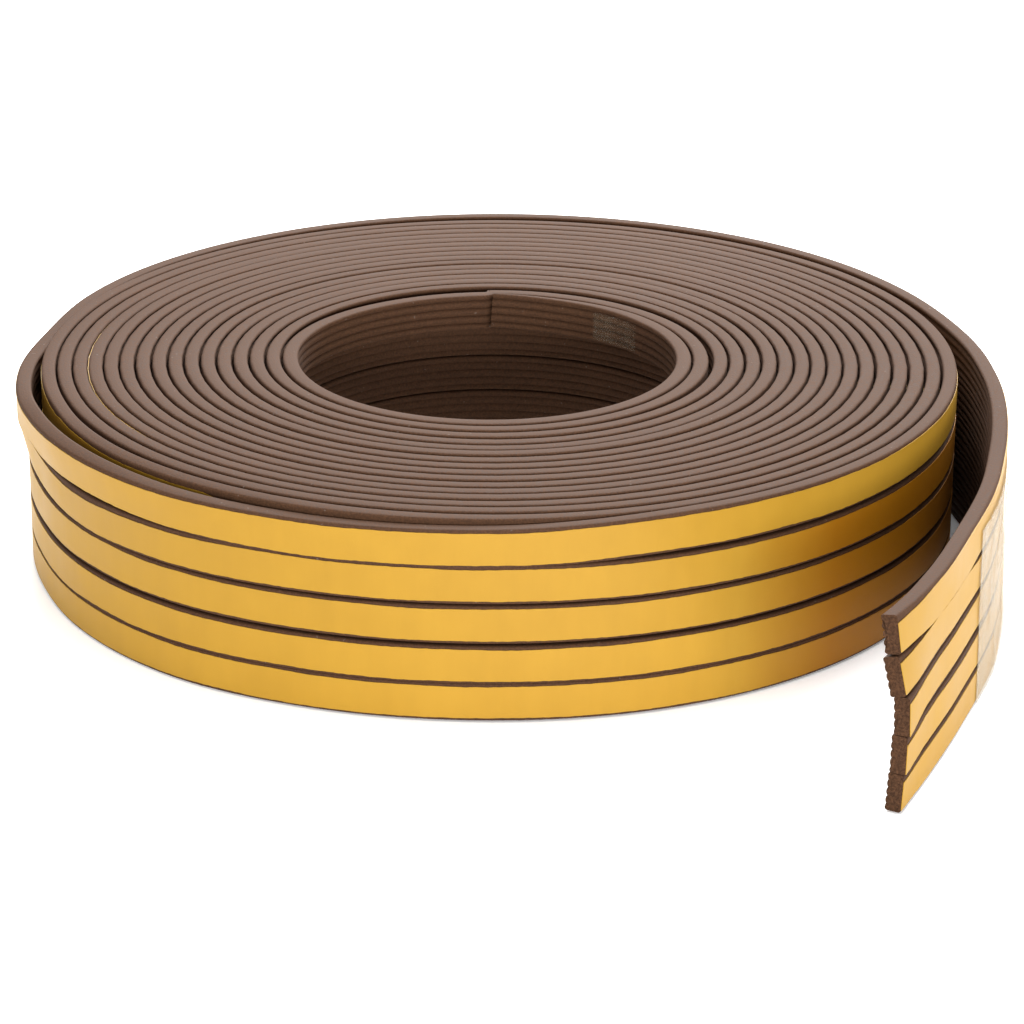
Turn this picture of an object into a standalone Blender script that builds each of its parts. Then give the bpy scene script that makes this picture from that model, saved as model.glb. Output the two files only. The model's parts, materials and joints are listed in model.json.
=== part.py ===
"""A roll of foam seal tape that lies flat on its end.

Five ribbed foam strips lie edge to edge and are wound together. Each strip is a
turned coil with a bore, and its last turn stands off the coil and ends in a free
tail. The top strip's first turns reach further into the bore. Each strip carries a
paper release liner on its outer face, and two pieces of clear film hold the five
together, one in the bore and one on the tail.
"""

import math

import bpy
import numpy as np

# Driving dimensions, in metres and turns
STRIP_COUNT = 5
STRIP_WIDTH = 0.0087
STRIP_CLEARANCE = 0.0003
TURN_PITCH = 0.0037
FOAM_THICKNESS = 0.0035
BORE_RADIUS = 0.0430
COIL_TURNS = 17
TOP_STRIP_EXTRA_TURNS = 2
EDGE_CHAMFER = 0.0004

# Grooves between the turns, on the two open ends of the coil
GROOVE_WIDTH = 0.0011
GROOVE_DEPTH = 0.0009

# Ribs of the strip's inner face, which show in the bore, and the valleys between them
RIB_COUNT = 4
RIB_DEPTH = 0.0005
RIB_VALLEY_WIDTH = 0.0009

# Loose turn and tail. Places are fractions of a turn clockwise from the back. The
# band climbs out of the coil between two places, and the gap is the air between the
# coil and the loose turn's inner face.
LOOSE_INSET = 0.0001
LOOSE_STEPS_PER_TURN = 50
LOOSE_START = -0.92
LOOSE_PROUD = 0.0003
CLIMB_START = -0.70
CLIMB_END = -0.40
TAIL_END = 0.42
LOOSE_GAPS = (
    (-0.92, 0.0),
    (-0.44, 0.0),
    (-0.28, 0.0010),
    (-0.10, 0.0008),
    (0.00, 0.0010),
    (0.10, 0.0013),
    (0.19, 0.0024),
    (0.25, 0.0054),
    (0.30, 0.0117),
    (0.35, 0.0245),
    (0.40, 0.0485),
    (0.42, 0.0626),
)

# Release liner on each strip's outer face, set in a little from the strip's edges
LINER_INSET = 0.00025
LINER_THICKNESS = 0.0002
LINER_CLEARANCE = 0.0003
LINER_START = -0.90

# Clear film
FILM_THICKNESS = 0.0002
FILM_CLEARANCE = 0.0003
OUTER_FILM = (0.335, 0.372)
OUTER_FILM_HEIGHT = 0.0400
INNER_FILM_HEIGHT = 0.0068
INNER_FILM_ANGLES = (40.0, 58.0)
INNER_FILM_STEPS = 5

COIL_STEPS = 36
MERGE_DISTANCE = 0.00001
SHARP_ANGLE = math.radians(35)

# Sizes that follow from the ones above
COIL_RADIUS = BORE_RADIUS + COIL_TURNS * TURN_PITCH
LINER_FACE = LINER_CLEARANCE + LINER_THICKNESS
LAYER_PITCH = STRIP_WIDTH + STRIP_CLEARANCE


def clear_scene():
    for item in list(bpy.data.objects):
        bpy.data.objects.remove(item, do_unlink=True)


def new_collection(name, hidden=False):
    made = bpy.data.collections.new(name)
    made.hide_render = hidden
    bpy.context.scene.collection.children.link(made)
    return made


def new_material(name, colour, roughness, alpha=1.0):
    made = bpy.data.materials.new(name)
    made.use_nodes = True
    shader = made.node_tree.nodes["Principled BSDF"]
    shader.inputs["Base Color"].default_value = (*colour, 1.0)
    shader.inputs["Roughness"].default_value = roughness
    shader.inputs["Metallic"].default_value = 0.0
    shader.inputs["Alpha"].default_value = alpha
    return made


def add_object(name, mesh, collection, material=None):
    made = bpy.data.objects.new(name, mesh)
    collection.objects.link(made)
    if material is not None:
        mesh.materials.append(material)
    return made


def layer_bottom(layer):
    """Height of a strip's lower edge; layer 1 is the top one."""
    return (STRIP_COUNT - layer) * LAYER_PITCH


def first_turn(layer):
    """Turns by which a strip starts further out than the top one, which reaches furthest in."""
    return 0 if layer == 1 else TOP_STRIP_EXTRA_TURNS


def bore_radius(layer):
    return BORE_RADIUS + first_turn(layer) * TURN_PITCH


def end_grooves(layer, outward):
    """Radii and depths along a grooved end, from the bore out, or the other way round."""
    half = GROOVE_WIDTH / 2
    points = []
    for turn in range(first_turn(layer) + 1, COIL_TURNS):
        radius = BORE_RADIUS + turn * TURN_PITCH
        points += [(radius - half, 0.0), (radius, GROOVE_DEPTH), (radius + half, 0.0)]
    return points if outward else points[::-1]


def bore_ribs(radius):
    """Radii and heights of the ribbed bore face, from the bottom up, with valleys between the ribs."""
    half = RIB_VALLEY_WIDTH / 2
    points = []
    for valley in range(1, RIB_COUNT):
        middle = valley * STRIP_WIDTH / RIB_COUNT
        points += [
            (radius, middle - half),
            (radius + RIB_DEPTH, middle),
            (radius, middle + half),
        ]
    return points


def coil_profile(layer):
    """Closed outline of one turned strip: down its outer side, in along the bottom, up the
    bore and out along the top."""
    height = STRIP_WIDTH
    bevel = EDGE_CHAMFER
    bore = bore_radius(layer)
    outline = [(COIL_RADIUS, height - bevel), (COIL_RADIUS, bevel), (COIL_RADIUS - bevel, 0.0)]
    if layer == STRIP_COUNT:
        outline += end_grooves(layer, outward=False)
    outline += [(bore + bevel, 0.0), (bore, bevel)]
    outline += bore_ribs(bore)
    outline += [(bore, height - bevel), (bore + bevel, height)]
    if layer == 1:
        outline += [(radius, height - depth) for radius, depth in end_grooves(layer, outward=True)]
    outline.append((COIL_RADIUS - bevel, height))
    return outline


def turned_coil(name, layer, collection, material):
    outline = coil_profile(layer)
    base = layer_bottom(layer)
    points = [(radius, 0.0, base + height) for radius, height in outline]
    count = len(points)
    edges = [(index, (index + 1) % count) for index in range(count)]
    mesh = bpy.data.meshes.new(name)
    mesh.from_pydata(points, edges, [])
    coil = add_object(name, mesh, collection, material)
    turn = coil.modifiers.new("Turned round the bore", "SCREW")
    turn.axis = "Z"
    turn.angle = 2 * math.pi
    turn.steps = COIL_STEPS
    turn.render_steps = COIL_STEPS
    turn.use_merge_vertices = True
    turn.merge_threshold = MERGE_DISTANCE
    turn.use_smooth_shade = False
    return coil


def gap_to_coil(turn):
    """Air between coil and loose turn: a cubic through the listed places, with even slopes at each."""
    places, gaps = np.array(LOOSE_GAPS).T
    slopes = np.gradient(gaps, places)
    index = np.clip(np.searchsorted(places, turn) - 1, 0, len(places) - 2)
    width = places[index + 1] - places[index]
    share = (turn - places[index]) / width
    rise = gaps[index + 1] - gaps[index]
    start, end = slopes[index] * width, slopes[index + 1] * width
    bend = (3 * rise - 2 * start - end) * share**2 + (start + end - 2 * rise) * share**3
    return gaps[index] + start * share + bend


def outer_radius(turn):
    """Distance of the band's outer face from the coil's axis, from the coil's skin to the tail's end."""
    climb = np.clip((turn - CLIMB_START) / (CLIMB_END - CLIMB_START), 0.0, 1.0)
    eased = climb * climb * (3 - 2 * climb)
    skin = LOOSE_PROUD + (FOAM_THICKNESS - LOOSE_PROUD) * eased
    return COIL_RADIUS + skin + gap_to_coil(turn)


def plan_path(first, last, offset=0.0):
    """Points of the outer face seen from above, clockwise, moved outwards by the offset."""
    count = max(2, round((last - first) * LOOSE_STEPS_PER_TURN)) + 1
    turns = np.linspace(first, last, count)
    radii = outer_radius(turns)
    angles = math.pi / 2 - 2 * math.pi * turns
    points = np.stack([radii * np.cos(angles), radii * np.sin(angles)], axis=1)
    along = np.gradient(points, axis=0)
    along /= np.linalg.norm(along, axis=1, keepdims=True)
    outward = np.stack([-along[:, 1], along[:, 0]], axis=1)
    return points + outward * offset


def standing_ribbon(name, path, low, high, thickness, collection, material=None):
    """A wall that follows a path seen from above; the path is its outer face, and it thickens inwards."""
    count = len(path)
    points = [(x, y, low) for x, y in path] + [(x, y, high) for x, y in path]
    faces = [(i, i + count, i + count + 1, i + 1) for i in range(count - 1)]
    mesh = bpy.data.meshes.new(name)
    mesh.from_pydata(points, [], faces)
    ribbon = add_object(name, mesh, collection, material)
    wall = ribbon.modifiers.new("Wall", "SOLIDIFY")
    wall.thickness = thickness
    wall.offset = -1.0
    wall.use_even_offset = True
    return ribbon


def join(target, other):
    union = target.modifiers.new("Joined to its loose turn", "BOOLEAN")
    union.operation = "UNION"
    union.solver = "EXACT"
    union.object = other


def foam_strip(layer, parts, cutters, material):
    strip = turned_coil(f"foam_strip_{layer}", layer, parts, material)
    low = layer_bottom(layer) + LOOSE_INSET
    high = layer_bottom(layer) + STRIP_WIDTH - LOOSE_INSET
    path = plan_path(LOOSE_START, TAIL_END)
    loose = standing_ribbon(f"loose_turn_{layer}", path, low, high, FOAM_THICKNESS, cutters)
    loose.hide_render = True
    loose.display_type = "WIRE"
    join(strip, loose)


def release_liner(layer, parts, material):
    path = plan_path(LINER_START, TAIL_END, LINER_FACE)
    low = layer_bottom(layer) + LINER_INSET
    high = layer_bottom(layer) + STRIP_WIDTH - LINER_INSET
    standing_ribbon(f"release_liner_{layer}", path, low, high, LINER_THICKNESS, parts, material)


def outer_film(parts, material):
    path = plan_path(*OUTER_FILM, LINER_FACE + FILM_CLEARANCE + FILM_THICKNESS)
    low, high = LOOSE_INSET, LOOSE_INSET + OUTER_FILM_HEIGHT
    standing_ribbon("clear_tape_outer", path, low, high, FILM_THICKNESS, parts, material)


def inner_film(parts, material):
    """Film on the top strip's ribbed face; its wall grows towards the bore's axis."""
    first, last = (math.radians(angle) for angle in INNER_FILM_ANGLES)
    radius = BORE_RADIUS * math.cos(math.pi / COIL_STEPS) - FILM_CLEARANCE
    angles = np.linspace(last, first, INNER_FILM_STEPS + 1)
    path = np.stack([radius * np.cos(angles), radius * np.sin(angles)], axis=1)
    low = layer_bottom(1) + (STRIP_WIDTH - INNER_FILM_HEIGHT) / 2
    high = low + INNER_FILM_HEIGHT
    standing_ribbon("clear_tape_inner", path, low, high, FILM_THICKNESS, parts, material)


def centre_on_origin(parts):
    """Moves the roll so that the middle of its outline, seen from above, lies over the origin."""
    outline = plan_path(LOOSE_START, TAIL_END, LINER_FACE)
    middle = (outline.max(axis=0) + outline.min(axis=0)) / 2
    anchor = bpy.data.objects.new("roll_centre", None)
    parts.objects.link(anchor)
    anchor.location = (-middle[0], -middle[1], 0.0)
    for item in bpy.data.objects:
        if item is not anchor:
            item.parent = anchor


def settle(parts):
    """Keeps the shapes that the modifiers give, and shades their round faces smooth."""
    for item in parts.objects:
        if item.type != "MESH":
            continue
        graph = bpy.context.evaluated_depsgraph_get()
        mesh = bpy.data.meshes.new_from_object(item.evaluated_get(graph))
        item.modifiers.clear()
        item.data = mesh
        mesh.shade_smooth()
        mesh.set_sharp_from_angle(angle=SHARP_ANGLE)


def build():
    clear_scene()
    parts = new_collection("foam_seal_tape_roll")
    cutters = new_collection("cutters", hidden=True)
    foam = new_material("brown_foam", (0.25, 0.17, 0.14), 0.85)
    paper = new_material("yellow_liner", (0.76, 0.45, 0.07), 0.45)
    film = new_material("clear_film", (0.90, 0.90, 0.88), 0.15, alpha=0.35)
    for layer in range(1, STRIP_COUNT + 1):
        foam_strip(layer, parts, cutters, foam)
        release_liner(layer, parts, paper)
    outer_film(parts, film)
    inner_film(parts, film)
    centre_on_origin(parts)
    settle(parts)


build()
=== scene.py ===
"""The look of a roll of ribbed foam seal tape, dressed over its solid model.

Five brown foam strips lie side by side and are wound together as one spiral, with a
yellow paper liner on each strip's outer face. The last turn stands off the roll and
ends in a free tail, which a slightly wrinkled piece of clear film holds together. A
second piece of film lies in the bore. All lengths are in metres, and a place along
the winding is a number of turns from the top strip's inner start, clockwise seen from
above, with whole numbers at the back of the roll.
"""

import json
import math

import bpy
import numpy as np
from mathutils import Matrix, Vector


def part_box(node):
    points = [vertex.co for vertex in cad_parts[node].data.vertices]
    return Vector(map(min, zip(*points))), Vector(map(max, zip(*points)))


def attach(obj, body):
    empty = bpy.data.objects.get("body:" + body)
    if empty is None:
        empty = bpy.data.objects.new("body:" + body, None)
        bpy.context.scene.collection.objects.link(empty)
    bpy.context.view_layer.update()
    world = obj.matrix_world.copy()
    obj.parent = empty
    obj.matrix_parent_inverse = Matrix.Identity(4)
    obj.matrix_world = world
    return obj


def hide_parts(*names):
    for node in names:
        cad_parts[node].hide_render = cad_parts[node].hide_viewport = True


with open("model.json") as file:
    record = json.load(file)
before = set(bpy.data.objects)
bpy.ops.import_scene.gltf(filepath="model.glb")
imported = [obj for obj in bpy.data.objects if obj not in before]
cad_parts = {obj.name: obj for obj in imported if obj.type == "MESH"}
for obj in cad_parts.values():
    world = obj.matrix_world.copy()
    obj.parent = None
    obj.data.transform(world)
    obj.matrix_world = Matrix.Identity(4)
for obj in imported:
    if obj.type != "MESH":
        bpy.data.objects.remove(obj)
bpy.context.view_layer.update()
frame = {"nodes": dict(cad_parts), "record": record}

bl_info = {
    "name": "Foam Seal Tape Roll",
    "version": (1, 0, 0),
    "blender": (4, 5, 0),
    "location": "3D View > Sidebar > Seal Roll",
    "description": "Makes a roll of ribbed foam seal tape with its paper liners and clear film",
    "category": "Add Mesh",
}

TAU = 2 * math.pi
MM = 0.001
BODY = "root"
STRIPS = sorted(name for name in frame["nodes"] if name.startswith("foam_strip_"))
LINERS = sorted(name for name in frame["nodes"] if name.startswith("release_liner_"))


def middle_of_opening(name):
    """Middle, seen from above, of one of the openings that the record states."""
    found = next(item for item in frame["record"]["physics"]["openings"] if item["name"] == name)
    low, high = np.array(found["box_m"])
    return (low[:2] + high[:2]) / 2


ROLL_AXIS = middle_of_opening("bore")

# In these tables a place along the winding comes first, in turns, and lengths in millimetres follow,
# apart from the share of its width that a strip keeps along the tail

# Radius of the strips' outer face on the loose turn and the tail
LAST_TURNS_RADIUS = (
    (16.05, 106.3),
    (16.15, 107.3),
    (16.25, 107.5),
    (16.35, 107.9),
    (16.42, 108.0),
    (16.50, 107.9),
    (16.56, 108.5),
    (16.61, 109.7),
    (16.66, 109.1),
    (16.70, 108.1),
    (16.74, 107.9),
    (16.78, 107.0),
    (16.82, 108.3),
    (16.87, 109.5),
    (16.94, 110.8),
    (17.02, 111.9),
    (17.10, 112.6),
    (17.20, 113.2),
    (17.25, 115.7),
    (17.276, 118.3),
    (17.30, 121.7),
    (17.326, 127.0),
    (17.35, 134.3),
    (17.377, 144.7),
    (17.40, 157.3),
    (17.421, 172.2),
)
TAIL_END = LAST_TURNS_RADIUS[-1][0]
LAST_TURNS_START = LAST_TURNS_RADIUS[0][0]

# Turns over which the even spiral passes into the loose turn
LAST_TURNS_BLEND = 0.1

# How far the top strip's first turns stand out from the even spiral, where below nought is inwards
TOP_STRIP_STANDS_IN = (
    (0.000, -1.97),
    (0.030, -2.10),
    (0.055, -2.20),
    (0.100, -1.40),
    (0.140, -0.95),
    (0.220, -0.80),
    (0.350, -0.60),
    (0.500, -0.20),
    (0.600, 0.0),
    (0.760, 0.0),
    (0.820, -0.5),
    (0.870, -1.3),
    (0.920, -2.1),
    (0.960, -2.4),
    (0.9900, -2.5),
    (0.9940, -2.5),
    (0.9952, -1.2),
    (1.0005, -1.1),
    (1.030, -1.2),
    (1.060, -1.4),
    (1.120, -1.3),
    (1.200, -0.8),
    (1.350, -0.3),
    (1.500, 0.0),
    (1.600, 0.0),
)

# Thickness of the foam, pressed in the wound turns and free in the last one
TOP_STRIP_THICKNESS = (
    (0.0, 1.1),
    (0.06, 2.0),
    (0.15, 3.5),
    (1.30, 3.5),
    (1.60, 3.2),
    (16.42, 3.2),
    (16.55, 3.5),
    (17.5, 3.5),
)
LOWER_STRIP_THICKNESS = ((1.5, 3.2), (15.9, 3.2), (16.1, 3.5), (17.5, 3.5))

# How far the top strip's upper edge leans out
TOP_STRIP_LEAN = (
    (14.45, 0.0),
    (14.55, 0.3),
    (14.62, 0.8),
    (14.66, 0.5),
    (14.72, 0.0),
    (15.45, 0.0),
    (15.50, 0.2),
    (15.55, 0.7),
    (15.60, 1.4),
    (15.64, 1.9),
    (15.67, 1.3),
    (15.70, 0.3),
    (15.73, 0.0),
    (16.50, 0.0),
    (16.56, 0.4),
    (16.62, 1.6),
    (16.66, 2.7),
    (16.70, 3.2),
    (16.74, 1.8),
    (16.78, 0.4),
    (16.82, 0.0),
)

# How far the first strip's lower edge and the second one's upper edge bulge out at the left
SIDE_BULGE = ((16.64, 0.0), (16.69, 0.8), (16.73, 2.3), (16.76, 2.1), (16.80, 0.5), (16.84, 0.0))

# Height of the last turns over that of their solids, and the turns over which it sets in
TOP_STRIP_HEIGHT = (
    (15.9, 0.3),
    (16.3, 0.3),
    (16.43, 0.3),
    (16.50, -1.0),
    (16.56, -1.3),
    (16.62, -1.1),
    (16.68, -0.8),
    (16.75, -0.8),
    (16.82, -0.2),
    (16.90, 0.0),
    (17.00, 0.2),
    (17.10, 0.1),
    (17.22, -0.4),
    (17.30, -0.8),
    (17.42, -1.5),
)
LOWER_STRIP_HEIGHTS = {
    2: (
        (15.9, 0.2),
        (16.3, 0.0),
        (16.50, -0.1),
        (16.58, -0.4),
        (16.62, -0.8),
        (16.65, -1.3),
        (16.68, -0.9),
        (16.72, -0.4),
        (17.2, -0.4),
        (17.42, -1.3),
    ),
    3: (
        (15.9, 0.2),
        (16.3, 0.0),
        (16.50, -0.1),
        (16.60, -0.35),
        (16.67, -0.7),
        (16.75, -0.5),
        (17.2, -0.3),
        (17.42, -0.9),
    ),
    4: (
        (15.9, 0.2),
        (16.3, -0.3),
        (16.50, -0.3),
        (16.60, -0.5),
        (16.67, -0.9),
        (16.75, -0.6),
        (17.2, -0.3),
        (17.42, -0.5),
    ),
    5: (
        (15.9, 0.2),
        (16.3, 0.2),
        (16.50, 0.25),
        (16.67, 0.0),
        (17.2, 0.1),
        (17.42, 0.0),
    ),
}
LAST_TURNS_SETTLE = (15.9, 16.3)

# Slow drift of the wound turns' height: seed, turns to a step, reach and middle
TURNS_DRIFT = (40, 0.31, 0.2 * MM)
TURNS_DRIFT_MIDDLE = 0.2 * MM

# Slant of the top strip's inner start, and how far it stands up there
START_SLANT = 0.6 * MM
START_LIFT = ((0.0, 0.5), (0.03, 0.25), (0.10, 0.0))

# How far the liners' edges move up: the top liner shows in a few grooves and is hidden in the others
TOP_LINER_EDGE = (
    (12.575, -4.5),
    (12.59, -0.1),
    (12.64, 0.15),
    (12.80, 0.2),
    (12.83, -4.5),
    (15.325, -4.5),
    (15.335, -0.2),
    (15.375, 0.1),
    (15.385, -4.5),
    (15.57, -4.5),
    (15.60, -0.7),
    (15.64, -0.3),
    (15.685, -0.1),
    (15.692, -0.8),
    (15.78, -0.5),
    (15.84, -0.4),
    (16.20, -0.9),
    (16.27, -0.6),
    (16.32, 0.0),
)
TOP_LINER_LOWER_EDGE = (
    (16.58, 0.0),
    (16.62, -0.3),
    (16.66, -0.6),
    (16.695, -1.4),
    (16.82, -1.4),
    (16.85, 0.0),
)
SECOND_LINER_EDGE = (
    (16.58, 0.0),
    (16.62, -0.4),
    (16.665, -0.7),
    (16.68, -0.4),
    (16.70, 0.6),
    (16.82, 0.6),
    (16.85, 0.0),
)

# Ragged edges of the liners, as slow and quick drifts: seed, length of a step and reach
UPPER_EDGE_DRIFTS = ((100, 0.011, 0.10 * MM), (200, 0.0012, 0.05 * MM))
LOWER_EDGE_DRIFTS = ((300, 0.013, 0.10 * MM), (400, 0.0011, 0.06 * MM))

# How far the upper and the lower edge of each strip lean out along the tail
TAIL_LEAN = {
    1: (
        (17.24, 0.0, 0.0),
        (17.312, -0.3, -0.1),
        (17.37, -0.3, -0.1),
        (17.398, -0.2, -0.3),
        (17.409, -0.75, -0.4),
        (17.414, -1.25, -0.55),
        (17.421, -2.1, -0.8),
    ),
    2: (
        (17.24, 0.0, 0.0),
        (17.312, -0.1, -0.5),
        (17.37, -0.1, -0.25),
        (17.398, -0.3, -0.4),
        (17.409, -0.45, 0.0),
        (17.414, -0.7, 0.35),
        (17.421, -1.3, 0.7),
    ),
    3: (
        (17.24, 0.0, 0.0),
        (17.312, -0.5, 0.0),
        (17.37, -0.25, 0.0),
        (17.398, -0.4, -0.05),
        (17.409, 0.0, 0.15),
        (17.414, 0.5, 0.6),
        (17.421, 1.5, 1.8),
    ),
    4: (
        (17.24, 0.0, 0.0),
        (17.312, 0.0, 0.3),
        (17.37, 0.1, 0.3),
        (17.398, 0.0, 0.2),
        (17.409, 0.15, 0.2),
        (17.414, 0.6, 0.4),
        (17.421, 1.4, 1.2),
    ),
    5: (
        (17.24, 0.0, 0.0),
        (17.312, 0.3, 0.6),
        (17.345, 0.3, 0.8),
        (17.37, 0.3, 0.3),
        (17.398, 0.2, 0.1),
        (17.409, 0.2, 0.1),
        (17.414, 0.35, 0.1),
        (17.421, 1.0, 0.5),
    ),
}

# How far the lower and the upper edge of each liner move up along the tail
LINER_TAIL = {
    1: (
        (17.366, 0.0, 0.0),
        (17.373, -0.1, 0.0),
        (17.382, -0.9, 0.0),
        (17.404, -0.9, 0.0),
        (17.410, -0.5, -0.3),
        (17.4155, -0.1, -0.8),
        (17.421, -0.1, -1.2),
    ),
    2: (
        (17.366, 0.0, 0.0),
        (17.373, 0.2, 0.1),
        (17.382, 0.4, 0.7),
        (17.404, 0.4, 0.7),
        (17.410, 0.4, 0.3),
        (17.4155, 0.2, -0.2),
        (17.421, -0.2, -0.9),
    ),
    3: ((17.366, 0.0, 0.0), (17.373, 0.3, -0.4), (17.410, 0.4, -0.45), (17.421, -0.3, -0.7)),
    4: ((17.366, 0.0, 0.0), (17.373, 0.2, -0.5), (17.410, 0.2, -0.5), (17.421, -0.3, -1.0)),
    5: ((17.366, 0.0, 0.0), (17.373, 0.0, -0.3), (17.410, 0.0, -0.3), (17.421, 0.0, -0.8)),
}

# Share of its width that each strip keeps along the tail
TAIL_NARROWS = ((17.30, 1.0), (17.36, 0.97), (17.421, 0.955))

# How far the outer wound turns lie to the right
OUTER_TURNS_SHIFT = ((11.0, 0.0), (15.0, 0.5), (16.05, 0.5), (16.15, 0.0))

# Turns whose foam closes the gap at the roll's back: its gain in thickness, the turns that do and
# the two that don't, how near the back it sets in and is full, as a cosine, and the rounding it loses
TIGHT_BACK = 0.36 * MM
TIGHT_TURNS = (1.6, 15.7)
LOOSE_AT_BACK = (2, 7)
TIGHT_SECTOR = (0.3, 0.8)
TIGHT_ROUNDING = 0.7

# Turns of the even spiral, and the air between a liner and the next turn or the film
WOUND_TURNS = 17
CLEARANCE = 0.05 * MM

# Rounding of the strip's outer and inner edges, and the height of both
OUTER_ROUNDING = 0.7 * MM
INNER_ROUNDING = 0.45 * MM
EDGE_HEIGHT = 0.5 * MM

# Power that steepens a rib's wave, points to a rib, and the lower strips' share of the ribs' depth
RIB_SHARPNESS = 0.6
STEPS_TO_A_RIB = 6
LOWER_RIBS = 0.5

# Ends of the stretches that are swept with steps of their own: a ridge where the second turn
# passes the strip's start, the bore's turns, the plain ones and the last even ones
START_RIDGE = (0.98, 1.02)
BORE_TURNS = 2.4
PLAIN_TURNS = 14.4
EVEN_TURNS = 15.6
LINER_PLAIN_TURNS = 15.4

# Steps to a turn on those stretches, and on the last one, for the foam and then for the paper
RIDGE_STEPS = 1000
BORE_STEPS = 96
SHOWN_STEPS = 72
HIDDEN_STEPS = 40
EVEN_STEPS = 120
LAST_STEPS = 280
LINER_BORE_STEPS = 144
LINER_PLAIN_STEPS = 72
LINER_LAST_STEPS = 1100

# Start of the top liner, how much later than their strips the others start, and the glue under them
TOP_LINER_START = 0.25
LINER_STARTS_LATER = 0.05
GLUE = 0.02 * MM

# Angle over which an edge of the foam or of the paper is drawn sharp
FOAM_SHARP = math.radians(60)
PAPER_SHARP = math.radians(40)

# Tail's film: the lengths of its waves, their shares of a wrinkle, and its lower edge
FILM_WAVE = 0.0075
FILM_SMALL_WAVE = 0.0031
WAVE_SHARE = 0.6
SMALL_WAVE_SHARE = 0.4
FILM_FOOT = 0.4 * MM

# How far it bows out at some heights, along it and at its end, and how many turns before its end
# the one starts to pass into the other and has done so
FILM_HEIGHTS = (0.0, 0.004, 0.0085, 0.013, 0.018, 0.027, 0.036)
FILM_BOW = (0.75, 0.6, 0.3, 0.1, 0.0, -0.1, 0.1)
FILM_END_BOW = (0.42, 0.42, 0.42, 0.34, 0.2, 0.05, 0.05)
FILM_END = (0.020, 0.005)

# Bore's film: its two ends, the length and height of its creases, and how far it stands off the ribs
BORE_FILM = (0.098, 0.150)
CREASE_LENGTH = 0.004
CREASE = 0.08 * MM
BORE_FILM_GAP = 0.15 * MM

# Points along and up the two films
TAIL_FILM_POINTS = (80, 61)
BORE_FILM_POINTS = (40, 31)

# Share of the tail film's length over which its wrinkles set in at either end
WRINKLES_SET_IN = 0.12

# How milky the two films are, and how dark the bore's film is painted beside the tail's, a painted shade
# for the bore
TAIL_FILM_MILK = 0.30
BORE_FILM_MILK = 0.06
BORE_FILM_PAINTED_SHADE = 0.5

# Sizes of the finishes' grains, and the colours of dust and flecks
FOAM_CLOUD = 0.012
FOAM_PORES = 0.00045
FOAM_DUST = 0.0008
CUT_CELLS = 0.0005
PAPER_STREAKS = 0.0035
PAPER_PATCHES = 0.016
PAPER_TOOTH = 0.0004
FILM_SCUFFS = 0.003
FILM_FLECKS = 0.0009
FLOOR_CLOUD = 0.8
DUST_COLOUR = (0.20, 0.17, 0.15)
FLECK_COLOUR = (0.4, 0.4, 0.38)

# Liners' maps: how far apart the layers lie, and the stretches across them over which the painted shade and
# the painted light set in
MAP_STEP = 0.05
BELOW_FIRST_LINER = (0.065, 0.085)
BELOW_SECOND_LINER = (0.115, 0.135)
LOWER_LINERS = (0.12, 0.25)

# Tint of the paper's soft patches
PALE_PATCH = (1.05, 1.08, 1.2)

# Painted shade on the paper where the tail shades the lower liners: where it sets in and ends along them,
# and the two tints painted for it
SHADE_STARTS = (7.17, 7.22)
PAINTED_SHADE_ENDS = (7.437, 7.464)
PAINTED_DEEP_SHADE_ENDS = (7.376, 7.406)
PAINTED_SHADE_TINT = (0.93, 0.66, 0.15)
PAINTED_DEEP_SHADE_TINT = (0.5, 0.34, 0.12)

# Middle of the dark spot of floor between the roll and the tail, a painted shadow where the floor has no
# glow, and the edge over which it ends
SHADED_FLOOR = (0.105, 0.023, 0.0)
SHADED_FLOOR_EDGE = (0.009, 0.015)

# Glow of the floor and light of the room
FLOOR_GLOW = 0.22
ROOM_LIGHT = 0.6

# Shift of the camera's picture, its width in millimetres, and how far it sees
PICTURE_SHIFT = (0.01454, 0.0015)
PICTURE_WIDTH = 36.0
FARTHEST = 20.0


class FoamStripSettings(bpy.types.PropertyGroup):
    thickness: bpy.props.FloatProperty(
        name="Thickness", description="Foam from its ribbed face to its liner",
        default=0.0035, unit="LENGTH",
    )
    width: bpy.props.FloatProperty(
        name="Width", description="One strip from edge to edge",
        default=0.0087, unit="LENGTH",
    )
    bore_radius: bpy.props.FloatProperty(
        name="Bore radius", description="Ribbed face at the start of the winding",
        default=0.04233, unit="LENGTH",
    )
    turn_pitch: bpy.props.FloatProperty(
        name="Turn pitch", description="How far the spiral moves out in a turn",
        default=0.003755, unit="LENGTH",
    )
    pitch_swell: bpy.props.FloatProperty(
        name="Pitch swell", description="How much wider the inner turns lie than the outer ones",
        default=0.0000054,
    )
    rib_pitch: bpy.props.FloatProperty(
        name="Rib pitch", description="One rib of the inner face to the next",
        default=0.00193, unit="LENGTH",
    )
    rib_depth: bpy.props.FloatProperty(
        name="Rib depth", description="Height of the ribs of the inner face",
        default=0.0007, unit="LENGTH",
    )
    lower_start: bpy.props.FloatProperty(
        name="Lower strips' start", description="Turns by which the four lower strips start later",
        default=1.5,
    )
    colour: bpy.props.FloatVectorProperty(
        name="Foam", description="Skin of the foam", subtype="COLOR", default=(0.061, 0.028, 0.0135)
    )


class LinerSettings(bpy.types.PropertyGroup):
    width: bpy.props.FloatProperty(
        name="Width", description="Paper liner from edge to edge",
        default=0.0072, unit="LENGTH",
    )
    thickness: bpy.props.FloatProperty(
        name="Thickness", description="Paper and adhesive",
        default=0.00015, unit="LENGTH",
    )
    colour: bpy.props.FloatVectorProperty(
        name="Liner", description="Face of the paper liner", subtype="COLOR", default=(0.36, 0.195, 0.017)
    )


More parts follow.
